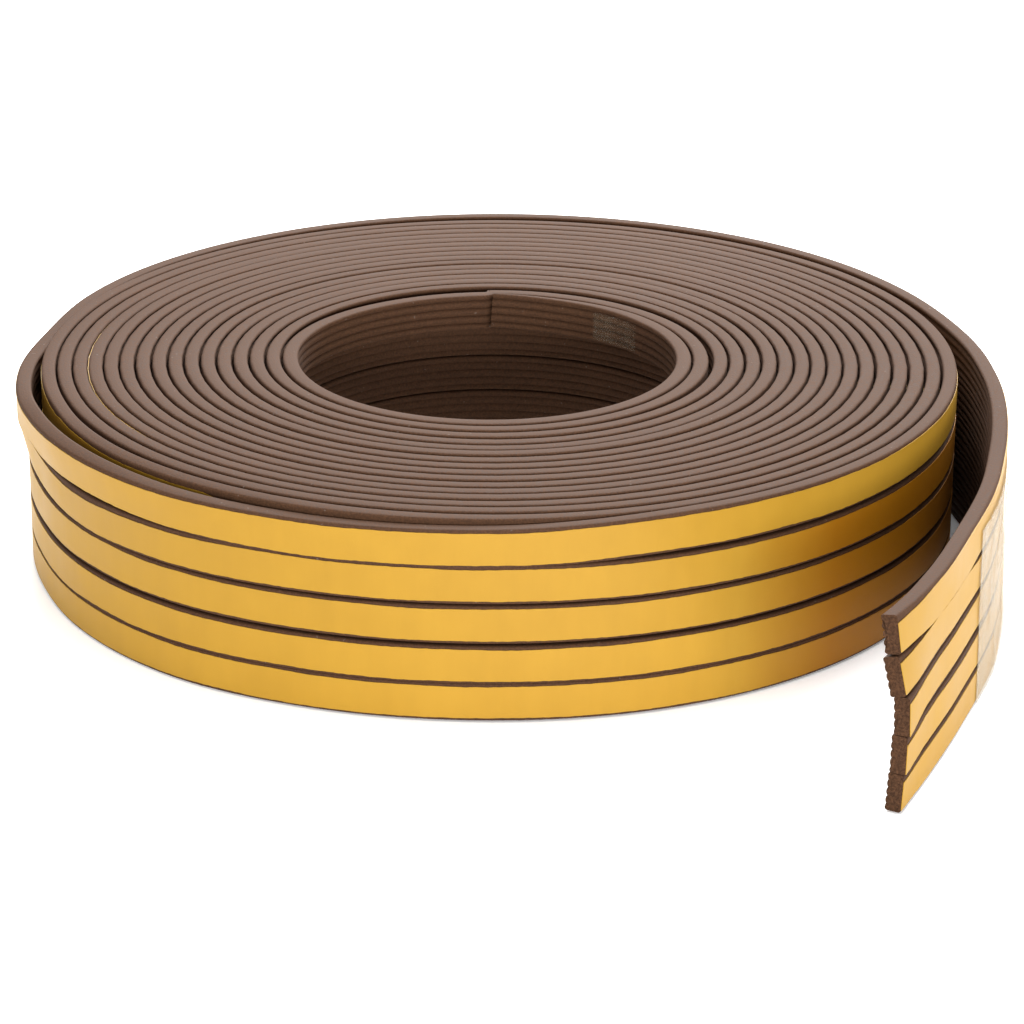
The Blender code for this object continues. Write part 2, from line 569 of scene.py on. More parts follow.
class FilmSettings(bpy.types.PropertyGroup):
    thickness: bpy.props.FloatProperty(
        name="Thickness", description="Clear film",
        default=0.0001, unit="LENGTH",
    )
    wrinkle: bpy.props.FloatProperty(
        name="Wrinkle", description="Height of the wrinkles in the tail's film",
        default=0.00012, unit="LENGTH",
    )
    outer_from: bpy.props.FloatProperty(
        name="Tail film from", description="Place where the tail's film begins, in turns",
        default=17.306,
    )
    outer_to: bpy.props.FloatProperty(
        name="Tail film to", description="Place where the tail's film ends, in turns",
        default=17.371,
    )
    colour: bpy.props.FloatVectorProperty(
        name="Film", description="Milky tint of the film", subtype="COLOR", default=(0.50, 0.42, 0.30)
    )


class StageSettings(bpy.types.PropertyGroup):
    lens: bpy.props.FloatProperty(
        name="Lens", description="Focal length in millimetres",
        default=137.9,
    )
    elevation: bpy.props.FloatProperty(
        name="Elevation", description="How far the camera looks down",
        default=0.3747, subtype="ANGLE",
    )
    roll: bpy.props.FloatProperty(
        name="Roll", description="Turn of the camera about its own line of sight",
        default=0.0035, subtype="ANGLE",
    )
    distance: bpy.props.FloatProperty(
        name="Distance", description="Camera to the point that it looks at",
        default=0.8804, unit="LENGTH",
    )
    aim: bpy.props.FloatVectorProperty(
        name="Aim", description="Point that the camera looks at",
        default=(-0.00166, -0.02434, 0.0225),
    )
    floor_colour: bpy.props.FloatVectorProperty(
        name="Floor", description="Plain pale floor", subtype="COLOR", default=(0.96, 0.96, 0.96)
    )


class Value:
    """A shader socket that Python's operators turn into Math nodes."""

    def __init__(self, shader, socket):
        self.shader = shader
        self.socket = socket

    def _math(self, operation, *values):
        return self.shader.add("ShaderNodeMath", {"operation": operation}, *values)

    def __add__(self, other):
        return self._math("ADD", self, other)

    def __sub__(self, other):
        return self._math("SUBTRACT", self, other)

    def __rsub__(self, other):
        return self._math("SUBTRACT", other, self)

    def __mul__(self, other):
        return self._math("MULTIPLY", self, other)

    __radd__ = __add__
    __rmul__ = __mul__


class Shader:
    """A new material and the one method that adds any node to it."""

    def __init__(self, name):
        self.material = bpy.data.materials.new(name)
        self.material.use_nodes = True
        self.tree = self.material.node_tree
        self.surface = self.tree.nodes["Principled BSDF"]

    def connect(self, socket, value):
        if isinstance(value, Value):
            self.tree.links.new(value.socket, socket)
        elif hasattr(value, "__len__") and len(value) == 3 and socket.type == "RGBA":
            socket.default_value = (*value, 1.0)
        else:
            socket.default_value = value

    def add(self, kind, settings=None, *values, output=0, **named):
        """Adds a node: its settings first, then its sockets by position or by name."""
        node = self.tree.nodes.new(kind)
        for key, setting in (settings or {}).items():
            if key == "stops":
                self.set_stops(node.color_ramp, setting)
            else:
                setattr(node, key, setting)
        for index, value in enumerate(values):
            self.connect(node.inputs[index], value)
        for key, value in named.items():
            self.connect(node.inputs[key.replace("_", " ")], value)
        return Value(self, node.outputs[output])

    def set_stops(self, ramp, stops):
        while len(ramp.elements) < len(stops):
            ramp.elements.new(1.0)
        for element, (place, shade) in zip(ramp.elements, stops):
            element.position = place
            element.color = (shade, shade, shade, 1.0)

    def place(self, uv_map=None, stretch=(1, 1, 1)):
        """Object coordinates, or the piece's own map, stretched along its axes."""
        if uv_map:
            coordinates = self.add("ShaderNodeUVMap", {"uv_map": uv_map})
        else:
            coordinates = self.add("ShaderNodeTexCoord", output=3)
        return self.add("ShaderNodeMapping", None, Vector=coordinates, Scale=stretch)

    def noise(self, place, size, detail=3.0, roughness=0.55):
        return self.add(
            "ShaderNodeTexNoise", None, Vector=place, Scale=1 / size, Detail=detail, Roughness=roughness
        )

    def ramp(self, value, stops):
        return self.add("ShaderNodeValToRGB", {"stops": stops}, value)

    def mix(self, share, first, second):
        """Blend of two colours; the sockets of a colour mix are numbers 0, 6 and 7."""
        node = self.tree.nodes.new("ShaderNodeMix")
        node.data_type = "RGBA"
        self.connect(node.inputs[0], share)
        self.connect(node.inputs[6], first)
        self.connect(node.inputs[7], second)
        return Value(self, node.outputs[2])

    def slope(self, value, stretch, first=0.0, last=1.0):
        """Straight change from the first number to the last while the value crosses the stretch."""
        return self.add("ShaderNodeMapRange", None, value, *stretch, first, last)

    def bump(self, height, distance, strength=1.0):
        return self.add("ShaderNodeBump", None, Strength=strength, Distance=distance, Height=height)

    def finish(self, **sockets):
        for key, value in sockets.items():
            self.connect(self.surface.inputs[key.replace("_", " ")], value)
        return self.material


def shade(colour, factor):
    return tuple(channel * factor for channel in colour)


def tint(colour, factors):
    return tuple(channel * factor for channel, factor in zip(colour, factors))


def foam_skin(colour):
    """Matt foam skin: faint cloudy mottling, fine pores and a few pale specks of dust."""
    shader = Shader("foam_skin")
    cloud = shader.noise(shader.place(), FOAM_CLOUD, detail=4.0)
    pores = shader.noise(shader.place(), FOAM_PORES, detail=2.0)
    clouded = shader.ramp(cloud, ((0.35, 0.0), (0.65, 1.0)))
    tone = shader.mix(clouded, shade(colour, 0.93), shade(colour, 1.07))
    pitted = shader.ramp(pores, ((0.35, 0.0), (0.65, 1.0)))
    grain = shader.mix(pitted, shade(colour, 0.62), shade(colour, 1.38))
    base = shader.mix(0.6, tone, grain)
    dust = shader.ramp(shader.noise(shader.place(), FOAM_DUST, detail=0.0), ((0.83, 0.0), (0.86, 1.0)))
    base = shader.mix(dust * 0.28, base, DUST_COLOUR)
    height = pores * 0.7 + cloud * 0.3
    return shader.finish(
        Base_Color=base,
        Roughness=shader.slope(pores, (0.3, 0.7), 0.72, 0.86),
        Specular_IOR_Level=0.14,
        Normal=shader.bump(height, 0.00010),
    )


def foam_cut(colour):
    """Open cells of the cut end: darker foam with small pits."""
    shader = Shader("foam_cut")
    cells = shader.noise(shader.place(), CUT_CELLS, detail=3.0, roughness=0.65)
    pits = shader.ramp(cells, ((0.35, 0.0), (0.62, 1.0)))
    base = shader.mix(pits, shade(colour, 0.55), shade(colour, 1.25))
    return shader.finish(
        Base_Color=base, Roughness=0.92, Specular_IOR_Level=0.12, Normal=shader.bump(pits, 0.00012)
    )


def liner_paper(colour):
    """Yellow coated paper: faint streaks across its width, soft patches along it, and a fine tooth.

    The lower liners are painted a little paler, a painted light low on the roll, and all but
    the first are painted darker where the tail shades them, a painted shade.
    """
    shader = Shader("liner_paper")
    streaks = shader.noise(shader.place("Strip", (1.0, 0.15, 1.0)), PAPER_STREAKS, detail=3.0)
    patches = shader.noise(shader.place("Strip"), PAPER_PATCHES, detail=2.0)
    tooth = shader.noise(shader.place("Strip"), PAPER_TOOTH, detail=2.0)
    streaked = shader.ramp(streaks, ((0.30, 0.0), (0.70, 1.0)))
    tone = shader.mix(streaked, shade(colour, 0.96), shade(colour, 1.04))
    patched = shader.ramp(patches, ((0.30, 0.0), (0.70, 1.0)))
    patch = shader.mix(patched, shade(colour, 0.92), tint(colour, PALE_PATCH))
    base = shader.mix(0.5, tone, patch)
    along = shader.add("ShaderNodeSeparateXYZ", None, shader.place("Strip"))
    layers = shader.add("ShaderNodeSeparateXYZ", None, shader.place("Strip"), output=1)
    # Painted light: the lower liners are painted a little paler, as if lit more low on the roll
    painted_light = shader.slope(layers, LOWER_LINERS, 1.0, 1.09)
    base = shader.add("ShaderNodeVectorMath", {"operation": "SCALE"}, base, Scale=painted_light)
    # Painted shade where the tail shades the lower liners: a lighter one from the second liner down, a
    # deeper one from the third
    gap = shader.slope(along, SHADE_STARTS)
    painted_shade = shader.slope(along, PAINTED_SHADE_ENDS, 1.0, 0.0) * gap * shader.slope(layers, BELOW_FIRST_LINER)
    base = shader.mix(painted_shade, base, tint(colour, PAINTED_SHADE_TINT))
    painted_deep_shade = shader.slope(along, PAINTED_DEEP_SHADE_ENDS, 1.0, 0.0) * gap * shader.slope(layers, BELOW_SECOND_LINER)
    base = shader.mix(painted_deep_shade, base, tint(colour, PAINTED_DEEP_SHADE_TINT))
    return shader.finish(
        Base_Color=base,
        Roughness=shader.slope(patches, (0.3, 0.7), 0.46, 0.56),
        Specular_IOR_Level=0.18,
        Normal=shader.bump(tooth * 0.5 + streaks, 0.00003),
    )


def clear_film(name, colour, alpha):
    """Milky clear film with scuffs, cloudier in places and with a few white flecks of dust under it."""
    shader = Shader(name)
    scuffs = shader.noise(shader.place("Strip", (1.0, 0.25, 1.0)), FILM_SCUFFS, detail=4.0)
    spots = shader.noise(shader.place("Strip"), FILM_FLECKS, detail=1.0)
    flecks = shader.ramp(spots, ((0.70, 0.0), (0.76, 1.0)))
    milk = shader.slope(scuffs, (0.3, 0.7), alpha * 0.6, alpha * 1.4)
    return shader.finish(
        Base_Color=shader.mix(flecks, colour, FLECK_COLOUR),
        Roughness=0.4,
        Specular_IOR_Level=0.4,
        Alpha=milk + flecks * 0.3,
        Normal=shader.bump(scuffs, 0.0001),
    )


def floor_paint(colour):
    """Plain pale paint with a faint glow, so that the floor stays white beside the roll.

    The spot between the roll and the tail has no glow, a painted shadow in the gap.
    """
    shader = Shader("floor_paint")
    cloud = shader.noise(shader.place(), FLOOR_CLOUD, detail=1.0)
    # Painted shadow: the glow fades out near the spot between the roll and the tail
    distance = {"operation": "DISTANCE"}
    away = shader.add("ShaderNodeVectorMath", distance, shader.place(), SHADED_FLOOR, output=1)
    glow = shader.slope(away, SHADED_FLOOR_EDGE)
    return shader.finish(
        Base_Color=shader.mix(cloud, shade(colour, 0.99), colour),
        Roughness=0.9,
        Specular_IOR_Level=0.1,
        Emission_Color=shader.mix(glow, (0.0, 0.0, 0.0), (1.0, 1.0, 1.0)),
        Emission_Strength=FLOOR_GLOW,
    )


def curve_through(points, at):
    """Smooth curve through given points.

    It is a cubic between each two of them, and level where the points turn back.
    """
    places, values = np.array(points).T
    rises = np.diff(values) / np.diff(places)
    before, after = rises[:-1], rises[1:]
    same_way = before * after > 0
    even = 2 * before * after / np.where(same_way, before + after, 1.0)
    slopes = np.concatenate([rises[:1], np.where(same_way, even, 0.0), rises[-1:]])
    at = np.clip(at, places[0], places[-1])
    index = np.clip(np.searchsorted(places, at) - 1, 0, len(places) - 2)
    width = places[index + 1] - places[index]
    share = (at - places[index]) / width
    rise = values[index + 1] - values[index]
    start, end = slopes[index] * width, slopes[index + 1] * width
    bend = (3 * rise - 2 * start - end) * share**2 + (start + end - 2 * rise) * share**3
    return values[index] + start * share + bend


def straight_through(points, at):
    places, values = np.array(points).T
    return np.interp(at, places, values)


def wander(seed, along, step, size):
    """Slow random drift: random heights every step, joined by cosine eased slopes."""
    place = along / step
    first = np.floor(place).astype(int)
    heights = np.random.default_rng(seed).uniform(-size, size, first.max() + 3)
    ease = (1 - np.cos((place - first) * math.pi)) / 2
    return heights[first] * (1 - ease) + heights[first + 1] * ease


def even_spiral(turn, foam):
    """Radius of the inner face: the bore, a pitch for each turn, and a slight swell in the middle turns."""
    swell = foam.pitch_swell * turn * (WOUND_TURNS - turn)
    return foam.bore_radius + foam.turn_pitch * turn + swell


def outer_face(turn, layer, foam, liner):
    """Radius of the strip's outer face: an even spiral, then the loose turn and the tail."""
    wound = even_spiral(turn + 1, foam) - liner.thickness - CLEARANCE
    if layer == 1:
        wound = wound + curve_through(TOP_STRIP_STANDS_IN, turn) * MM
    loose = curve_through(LAST_TURNS_RADIUS, turn) * MM
    share = np.clip((turn - LAST_TURNS_START) / LAST_TURNS_BLEND, 0, 1)
    return wound * (1 - share) + loose * share


def lean_of(turn, layer):
    """How far the strip's upper and lower edges stand out from its path."""
    place, tail_upper, tail_lower = np.array(TAIL_LEAN[layer]).T
    upper = curve_through(np.stack([place, tail_upper], axis=1), turn)
    lower = curve_through(np.stack([place, tail_lower], axis=1), turn)
    if layer == 1:
        upper = upper + curve_through(TOP_STRIP_LEAN, turn)
        lower = lower + curve_through(SIDE_BULGE, turn)
    if layer == 2:
        upper = upper + curve_through(SIDE_BULGE, turn)
    return upper * MM, lower * MM


def height_of(turn, layer, foam):
    """Middle height of the strip.

    It is its solid's, with a slow drift that the five strips share, which passes into
    the strip's own heights on the last turns.
    """
    low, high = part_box(f"foam_strip_{layer}")
    nominal = (low.z + high.z) / 2
    seed, step, reach = TURNS_DRIFT
    drift = TURNS_DRIFT_MIDDLE + wander(seed, turn, step, reach)
    table = TOP_STRIP_HEIGHT if layer == 1 else LOWER_STRIP_HEIGHTS[layer]
    settled = curve_through(table, turn) * MM
    first, last = LAST_TURNS_SETTLE
    share = np.clip((turn - first) / (last - first), 0, 1)
    if layer == 1:
        drift = drift + straight_through(START_LIFT, turn) * MM
    return nominal + drift * (1 - share) + settled * share


def thickness_of(turn, layer):
    """Thickness of the strip, and how tightly it closes the gap at the roll's back, from 0 to 1."""
    if layer > 1:
        return straight_through(LOWER_STRIP_THICKNESS, turn) * MM, np.zeros_like(turn)
    first, last = TIGHT_TURNS
    free = np.isin(np.round(turn), LOOSE_AT_BACK) | (turn < first) | (turn > last)
    begins, full = TIGHT_SECTOR
    tight = np.where(free, 0.0, np.clip((np.cos(TAU * turn) - begins) / (full - begins), 0, 1))
    return straight_through(TOP_STRIP_THICKNESS, turn) * MM + tight * TIGHT_BACK, tight


def path_of(turn, radius):
    """Points of a winding seen from above, and the outward direction at each."""
    angle = math.pi / 2 - TAU * turn
    shift = straight_through(OUTER_TURNS_SHIFT, turn) * MM
    points = ROLL_AXIS + np.stack([radius * np.cos(angle) + shift, radius * np.sin(angle)], axis=1)
    along = np.gradient(points, axis=0)
    along /= np.linalg.norm(along, axis=1, keepdims=True)
    return points, np.stack([-along[:, 1], along[:, 0]], axis=1)


def standing(points, outward, out, height):
    """Points at a distance out from each place of a path, and at a height over the floor."""
    across = points[:, None, :] + outward[:, None, :] * out[:, :, None]
    return np.concatenate([across, np.broadcast_to(height, out.shape)[:, :, None]], axis=2)


def length_along(points):
    steps = np.linalg.norm(np.diff(points, axis=0), axis=1)
    return np.concatenate([[0.0], np.cumsum(steps)])


def places_along(spans):
    """Places along the winding, with a number of steps to the turn for each span."""
    runs = []
    for first, last, steps in spans:
        count = max(2, round((last - first) * steps))
        runs.append(np.linspace(first, last, count, endpoint=False))
    return np.concatenate(runs + [[spans[-1][1]]])


def quarter(width, height, count=4):
    """Rounded edge as a quarter of an ellipse: how far it draws in, against how far it goes up."""
    angle = np.linspace(0, math.pi / 2, count)
    return width * (1 - np.cos(angle)), height * np.sin(angle)


def strip_section(foam):
    """Closed outline of the foam, as four values for each of its points.

    They are its depth on a plain rectangle, its height from the middle, how far its edge's
    rounding moves it in, and how deep it lies in a valley between two ribs. The outer
    face is flat between two rounded edges. The inner face is a row of ribs, each the upper
    half of a steepened cosine wave, between two smaller roundings.
    """
    flat = foam.width / 2 - EDGE_HEIGHT
    outer_in, outer_up = quarter(OUTER_ROUNDING, EDGE_HEIGHT)
    outer = np.concatenate([-(flat + outer_up[::-1]), [-flat / 3, flat / 3], flat + outer_up])
    outer_rounding = np.concatenate([outer_in[::-1], [0, 0], outer_in])
    inner_in, inner_up = quarter(INNER_ROUNDING, EDGE_HEIGHT)
    last = 2 * STEPS_TO_A_RIB - 1
    ribs = np.arange(last, -last - 1, -1) * foam.rib_pitch / STEPS_TO_A_RIB
    inner = np.concatenate([flat + inner_up[::-1], ribs, -(flat + inner_up)])
    inner_rounding = np.concatenate([inner_in[::-1], np.zeros(len(ribs)), inner_in])
    wave = np.abs(np.cos(math.pi * inner / foam.rib_pitch))
    valley = foam.rib_depth * (1 - wave**RIB_SHARPNESS)
    square = np.concatenate([np.zeros(len(outer)), np.full(len(inner), foam.thickness)])
    rounding = np.concatenate([outer_rounding, -inner_rounding])
    return square, np.concatenate([outer, inner]), rounding, np.concatenate([np.zeros(len(outer)), valley])


def swept_surface(name, rings, uv=None):
    """Closed mesh of rings of points: quads between neighbours and a fan at either end.

    Rings are an array of stations by section points by three. The fans meet at the
    middle of the end section.
    """
    count, size = rings.shape[:2]
    points = rings.reshape(-1, 3)
    ends = np.stack([rings[0].mean(axis=0), rings[-1].mean(axis=0)])
    row = np.arange(count - 1)[:, None] * size
    here = np.arange(size)
    after = (here + 1) % size
    corners = [row + here, row + after, row + size + after, row + size + here]
    quads = np.stack(corners, axis=-1).reshape(-1, 4)
    first_fan = np.stack([after, here, np.full(size, len(points))], axis=1)
    last = (count - 1) * size
    last_fan = np.stack([last + here, last + after, np.full(size, len(points) + 1)], axis=1)
    everything = np.concatenate([points, ends])
    faces = quads.tolist() + first_fan.tolist() + last_fan.tolist()
    mesh = bpy.data.meshes.new(name)
    mesh.from_pydata(everything.tolist(), [], faces)
    if uv is not None:
        flat = np.concatenate([uv.reshape(-1, 2), uv[0].mean(axis=0)[None], uv[-1].mean(axis=0)[None]])
        corners = np.concatenate([quads.ravel(), first_fan.ravel(), last_fan.ravel()])
        layer = mesh.uv_layers.new(name="Strip")
        layer.data.foreach_set("uv", flat[corners].ravel())
    piece = bpy.data.objects.new(name, mesh)
    bpy.context.scene.collection.objects.link(piece)
    mesh.shade_smooth()
    return piece, len(quads)


def set_materials(piece, skin, ends=None, quad_count=0):
    piece.data.materials.append(skin)
    if ends is not None:
        piece.data.materials.append(ends)
        index = np.zeros(len(piece.data.polygons), dtype=np.int32)
        index[quad_count:] = 1
        piece.data.polygons.foreach_set("material_index", index)


def check_outward(piece):
    """Turns the faces round where the closed mesh would have a negative volume."""
    mesh = piece.data
    mesh.calc_loop_triangles()
    corners = np.zeros(len(mesh.loop_triangles) * 3, dtype=np.int32)
    mesh.loop_triangles.foreach_get("vertices", corners)
    points = np.zeros(len(mesh.vertices) * 3)
    mesh.vertices.foreach_get("co", points)
    a, b, c = points.reshape(-1, 3)[corners.reshape(-1, 3)].transpose(1, 0, 2)
    if np.einsum("ij,ij->i", a, np.cross(b, c)).sum() < 0:
        mesh.flip_normals()


def foam_strip(layer, foam, liner, skin, cut):
    """One strip: the section carried along its path, leaning with the lean of its two edges."""
    if layer == 1:
        first, last = START_RIDGE
        spans = [(0.0, first, BORE_STEPS), (first, last, RIDGE_STEPS), (last, BORE_TURNS, BORE_STEPS)]
    else:
        spans = [(foam.lower_start, BORE_TURNS, BORE_STEPS)]
    spans.append((BORE_TURNS, PLAIN_TURNS, SHOWN_STEPS if layer in (1, 5) else HIDDEN_STEPS))
    spans += [(PLAIN_TURNS, EVEN_TURNS, EVEN_STEPS), (EVEN_TURNS, TAIL_END, LAST_STEPS)]
    turn = places_along(spans)
    radius = outer_face(turn, layer, foam, liner)
    points, outward = path_of(turn, radius)
    square, up, rounding, relief = strip_section(foam)
    upper, lower = lean_of(turn, layer)
    share = (up / foam.width + 0.5)[None, :]
    tilt = np.arctan((upper - lower) / foam.width)[:, None]
    thickness, tight = thickness_of(turn, layer)
    depth = square[None, :] * (thickness / foam.thickness)[:, None]
    depth = depth + rounding[None, :] * (1 - TIGHT_ROUNDING * tight)[:, None]
    depth = depth - relief[None, :] * (1.0 if layer == 1 else LOWER_RIBS)
    narrow = straight_through(TAIL_NARROWS, turn)[:, None]
    out = lower[:, None] * (1 - share) + upper[:, None] * share - depth * np.cos(tilt)
    height = height_of(turn, layer, foam)[:, None] + up[None, :] * narrow + depth * np.sin(tilt)
    rings = standing(points, outward, out, np.maximum(height, 0.0))
    if layer == 1:
        along = (points[1] - points[0]) / np.linalg.norm(points[1] - points[0])
        rings[0, :, :2] -= along * (START_SLANT * (0.5 - up / foam.width))[:, None]
    piece, quad_count = swept_surface(f"foam_{layer}", rings)
    set_materials(piece, skin, cut, quad_count)
    piece.data.set_sharp_from_angle(angle=FOAM_SHARP)
    return piece


def ragged(layer, along, drifts):
    """Slow and quick drift of one edge of a liner, added up."""
    return sum(wander(seed + layer, along, step, reach) for seed, step, reach in drifts)


def release_liner(layer, foam, liner, paper):
    """One liner: a thin band on the strip's outer face, with slightly ragged edges."""
    start = TOP_LINER_START if layer == 1 else foam.lower_start + LINER_STARTS_LATER
    spans = [(start, BORE_TURNS, LINER_BORE_STEPS), (BORE_TURNS, LINER_PLAIN_TURNS, LINER_PLAIN_STEPS)]
    turn = places_along(spans + [(LINER_PLAIN_TURNS, TAIL_END, LINER_LAST_STEPS)])
    radius = outer_face(turn, layer, foam, liner)
    points, outward = path_of(turn, radius)
    along = length_along(points)
    upper, lower = lean_of(turn, layer)
    top = liner.width / 2 + ragged(layer, along, UPPER_EDGE_DRIFTS)
    bottom = -liner.width / 2 + ragged(layer, along, LOWER_EDGE_DRIFTS)
    if layer == 1:
        top = top + straight_through(TOP_LINER_EDGE, turn) * MM
        bottom = bottom + straight_through(TOP_LINER_LOWER_EDGE, turn) * MM
    if layer == 2:
        top = top + straight_through(SECOND_LINER_EDGE, turn) * MM
    place, lower_edge, upper_edge = np.array(LINER_TAIL[layer]).T
    bottom = bottom + np.interp(turn, place, lower_edge) * MM
    top = top + np.interp(turn, place, upper_edge) * MM
    up = np.stack([bottom, bottom / 3, top / 3, top, top, top / 3, bottom / 3, bottom], axis=1)
    skin = np.array([1, 1, 1, 1, 0, 0, 0, 0]) * liner.thickness + GLUE
    share = up / foam.width + 0.5
    out = lower[:, None] * (1 - share) + upper[:, None] * share + skin[None, :]
    rings = standing(points, outward, out, height_of(turn, layer, foam)[:, None] + up)
    uv = np.stack([np.broadcast_to(along[:, None], up.shape), up + layer * MAP_STEP], axis=2)
    piece, _ = swept_surface(f"liner_{layer}", rings, uv)
    set_materials(piece, paper)
    piece.data.set_sharp_from_angle(angle=PAPER_SHARP)
    return piece


def own(piece, slot, *nodes):
    """Says that a piece rides on the roll and stands for its solids. The slot is not used."""
    check_outward(piece)
    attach(piece, BODY)
    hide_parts(*nodes)


class ROLL_OT_foam_strips(bpy.types.Operator):
    """Winds the five ribbed foam strips"""

    bl_idname = "roll.foam_strips"
    bl_label = "Foam Strips"

    def execute(self, context):
        foam, liner = context.scene.seal_foam, context.scene.seal_liner
        skin, cut = foam_skin(tuple(foam.colour)), foam_cut(tuple(foam.colour))
        for layer, node in enumerate(STRIPS, start=1):
            own(foam_strip(layer, foam, liner, skin, cut), "foam", node)
        return {"FINISHED"}


class ROLL_OT_release_liners(bpy.types.Operator):
    """Lays a paper liner on the outer face of each strip"""

    bl_idname = "roll.release_liners"
    bl_label = "Release Liners"

    def execute(self, context):
        foam, liner = context.scene.seal_foam, context.scene.seal_liner
        paper = liner_paper(tuple(liner.colour))
        for layer, node in enumerate(LINERS, start=1):
            own(release_liner(layer, foam, liner, paper), "liner", node)
        return {"FINISHED"}


def film_wrinkles(along, tall):
    """Wrinkles from 0 to 2: long waves that sway with the height, and short ones that lean."""
    wave = np.sin(TAU * (along[:, None] / FILM_WAVE + 0.35 * np.sin(5 * tall)[None, :]))
    small = np.sin(TAU * (along[:, None] / FILM_SMALL_WAVE - 0.8 * tall[None, :]))
    return 1 + WAVE_SHARE * wave + SMALL_WAVE_SHARE * small


def edge_ease(along):
    """Nought at either end of a length and one over its middle."""
    share = np.clip(np.minimum(along, along[-1] - along) / (WRINKLES_SET_IN * along[-1]), 0, 1)
    return share * share * (3 - 2 * share)


def thin_sheet(name, points, outward, front, back, up):
    """Closed sheet of film between two distances out from a path, front face first and back in return."""
    faces = [standing(points, outward, out, up) for out in (front, back)]
    rings = np.concatenate([faces[0], faces[1][:, ::-1]], axis=1)
    across = np.concatenate([up, up[::-1]])
    uv = np.stack(np.broadcast_arrays(length_along(points)[:, None], across[None, :]), axis=2)
    piece, _ = swept_surface(name, rings, uv)
    return piece


class ROLL_OT_outer_film(bpy.types.Operator):
    """Wraps the slightly wrinkled clear film round the tail"""

    bl_idname = "roll.outer_film"
    bl_label = "Tail Film"

    def execute(self, context):
        scene = context.scene
        film, foam, liner = scene.seal_film, scene.seal_foam, scene.seal_liner
        long_count, tall_count = TAIL_FILM_POINTS
        turn = np.linspace(film.outer_from, film.outer_to, long_count)
        points, outward = path_of(turn, outer_face(turn, 5, foam, liner))
        along = length_along(points)
        low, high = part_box("clear_tape_outer")
        up = np.linspace(FILM_FOOT, high.z, tall_count)
        tall = (up - low.z) / (high.z - low.z)
        wrinkles = film.wrinkle * film_wrinkles(along, tall) * edge_ease(along)[:, None]
        begins, full = FILM_END
        far = np.clip((film.outer_to - full - turn) / (begins - full), 0, 1)[:, None]
        bow = np.interp(up, FILM_HEIGHTS, FILM_BOW)[None, :] * MM
        end_bow = np.interp(up, FILM_HEIGHTS, FILM_END_BOW)[None, :] * MM
        rest = film.thickness + liner.thickness + 2 * CLEARANCE
        out = rest + wrinkles + bow * far + end_bow * (1 - far)
        piece = thin_sheet("tail_film", points, outward, out, out - film.thickness, up)
        set_materials(piece, clear_film("tail_film", tuple(film.colour), TAIL_FILM_MILK))
        own(piece, "film", "clear_tape_outer")
        return {"FINISHED"}


class ROLL_OT_inner_film(bpy.types.Operator):
    """Sticks the short clear film on the ribs in the bore"""

    bl_idname = "roll.inner_film"
    bl_label = "Bore Film"

    def execute(self, context):
        scene = context.scene
        film, foam, liner = scene.seal_film, scene.seal_foam, scene.seal_liner
        long_count, tall_count = BORE_FILM_POINTS
        turn = np.linspace(*BORE_FILM, long_count)
        thickness = straight_through(TOP_STRIP_THICKNESS, turn) * MM
        points, outward = path_of(turn, outer_face(turn, 1, foam, liner) - thickness)
        along = length_along(points)
        low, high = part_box("clear_tape_inner")
        up = np.linspace(low.z, high.z, tall_count)
        tall = (up - low.z) / (high.z - low.z)
        crease = CREASE * np.sin(TAU * (along[:, None] / CREASE_LENGTH + 2 * tall[None, :]))
        out = -BORE_FILM_GAP - crease
        piece = thin_sheet("bore_film", points, outward, out - film.thickness, out, up)
        # Painted shade: the bore's film is a darker copy of the tail's film
        colour = shade(tuple(film.colour), BORE_FILM_PAINTED_SHADE)
        set_materials(piece, clear_film("bore_film", colour, BORE_FILM_MILK))
        own(piece, "film", "clear_tape_inner")
        return {"FINISHED"}


class ROLL_OT_stage(bpy.types.Operator):
    """Sets the pale floor, the soft studio light and the camera"""

    bl_idname = "roll.stage"
    bl_label = "Stage"

    def execute(self, context):
        stage = context.scene.seal_stage
        context.scene.view_settings.view_transform = "Standard"
        make_floor(stage)
        make_lights()
        make_camera(stage)
        return {"FINISHED"}


def make_floor(stage, reach=4.0):
    corners = [(-reach, -reach, 0.0), (reach, -reach, 0.0), (reach, reach, 0.0), (-reach, reach, 0.0)]
    mesh = bpy.data.meshes.new("floor")
    mesh.from_pydata(corners, [], [(0, 1, 2, 3)])
    mesh.materials.append(floor_paint(tuple(stage.floor_colour)))
    floor = bpy.data.objects.new("floor", mesh)
    bpy.context.scene.collection.objects.link(floor)


def make_lights():
    world = bpy.data.worlds.new("studio")
    world.use_nodes = True
    background = world.node_tree.nodes["Background"]
    background.inputs["Color"].default_value = (1, 1, 1, 1)
    background.inputs["Strength"].default_value = ROOM_LIGHT
    bpy.context.scene.world = world
    # Each box has its name, place, the point that it faces, its size and its power in watts
    boxes = (
        ("back_box", (0.3, 1.5, 1.15), (0.0, 0.0, 0.0), (1.5, 1.2), 95.0),
        ("top_box", (0.0, 0.0, 1.5), (0.0, 0.0, 0.0), (1.0, 1.0), 16.0),
        ("front_box", (0.45, -1.7, 0.27), (0.0, 0.0, 0.02), (1.4, 0.35), 33.0),
    )
    for name, place, aim, size, power in boxes:
        lamp = bpy.data.lights.new(name, "AREA")
        lamp.shape = "RECTANGLE"
        lamp.size, lamp.size_y = size
        lamp.energy = power
        item = bpy.data.objects.new(name, lamp)
        item.location = place
        item.rotation_euler = (Vector(aim) - Vector(place)).to_track_quat("-Z", "Y").to_euler()
        bpy.context.scene.collection.objects.link(item)


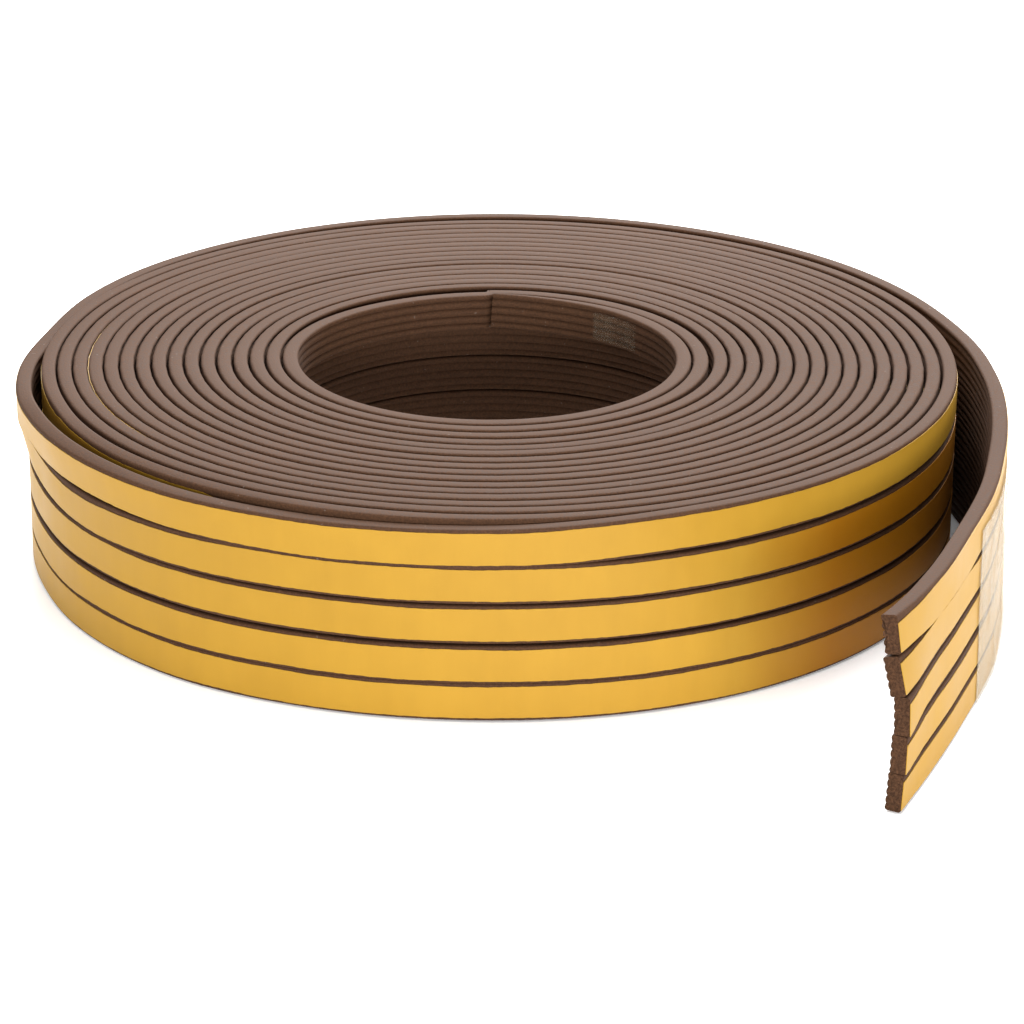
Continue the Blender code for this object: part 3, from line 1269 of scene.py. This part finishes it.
def make_camera(stage):
    """Camera at a distance from its aim, looking along the Y axis and down by its elevation."""
    down, roll = stage.elevation, stage.roll
    look = Vector((0.0, math.cos(down), -math.sin(down)))
    level = Vector((1.0, 0.0, 0.0))
    upright = level.cross(look)
    right = level * math.cos(roll) + upright * math.sin(roll)
    up = upright * math.cos(roll) - level * math.sin(roll)
    turned = Matrix((right, up, -look)).transposed().to_4x4()
    data = bpy.data.cameras.new("camera")
    data.sensor_width = PICTURE_WIDTH
    data.lens = stage.lens
    data.shift_x, data.shift_y = PICTURE_SHIFT
    data.clip_end = FARTHEST
    camera = bpy.data.objects.new("camera", data)
    camera.matrix_world = Matrix.Translation(Vector(stage.aim) - look * stage.distance) @ turned
    bpy.context.scene.collection.objects.link(camera)
    bpy.context.scene.camera = camera


class ROLL_PT_sidebar(bpy.types.Panel):
    """Sizes and colours of the roll, and a button for each kind of piece"""

    bl_idname = "ROLL_PT_sidebar"
    bl_label = "Foam Seal Tape Roll"
    bl_space_type = "VIEW_3D"
    bl_region_type = "UI"
    bl_category = "Seal Roll"

    def draw(self, context):
        for title, group, _ in GROUPS:
            box = self.layout.box()
            box.label(text=title)
            settings = getattr(context.scene, group)
            for name in settings.__annotations__:
                box.prop(settings, name)
        for operator in OPERATORS:
            self.layout.operator(operator.bl_idname)


GROUPS = (
    ("Foam strips", "seal_foam", FoamStripSettings),
    ("Release liners", "seal_liner", LinerSettings),
    ("Clear film", "seal_film", FilmSettings),
    ("Stage", "seal_stage", StageSettings),
)
OPERATORS = (
    ROLL_OT_foam_strips,
    ROLL_OT_release_liners,
    ROLL_OT_inner_film,
    ROLL_OT_outer_film,
    ROLL_OT_stage,
)


def register():
    for _, name, group in GROUPS:
        bpy.utils.register_class(group)
        setattr(bpy.types.Scene, name, bpy.props.PointerProperty(type=group))
    for item in (*OPERATORS, ROLL_PT_sidebar):
        bpy.utils.register_class(item)


def unregister():
    for item in (ROLL_PT_sidebar, *reversed(OPERATORS)):
        bpy.utils.unregister_class(item)
    for _, name, group in reversed(GROUPS):
        delattr(bpy.types.Scene, name)
        bpy.utils.unregister_class(group)


def main():
    register()
    bpy.ops.roll.stage()
    bpy.ops.roll.foam_strips()
    bpy.ops.roll.release_liners()
    bpy.ops.roll.inner_film()
    bpy.ops.roll.outer_film()


if __name__ == "__main__":
    main()
